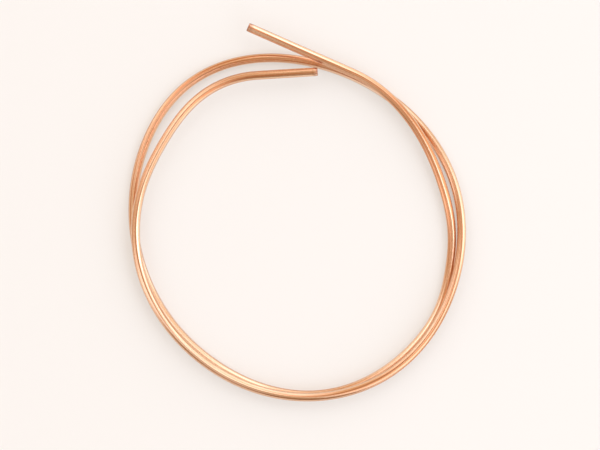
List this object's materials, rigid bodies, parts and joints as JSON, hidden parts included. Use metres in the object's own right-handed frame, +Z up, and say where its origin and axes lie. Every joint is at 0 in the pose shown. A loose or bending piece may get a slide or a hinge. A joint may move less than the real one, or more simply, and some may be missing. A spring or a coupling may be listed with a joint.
{
  "type": "copper tube coil",
  "caption": "Loose hand-wound coil of thin bare copper capillary tube with two straight, square-cut ends.",
  "frame": {"origin": "on the floor, under the middle of the coil's box", "axes": "+Z up, the way the coil's winding axis stands as it lies flat; +Y towards the outer end's side of the coil, which is the coil's longest way across; +X to the right, seen from above"},
  "size_m": [0.1206, 0.1342, 0.01],
  "materials": {
    "copper": "bright drawn copper, bare, faintly tarnished"
  },
  "bodies": {
    "root": {"copper_tube": "copper"}
  },
  "joints": []
}
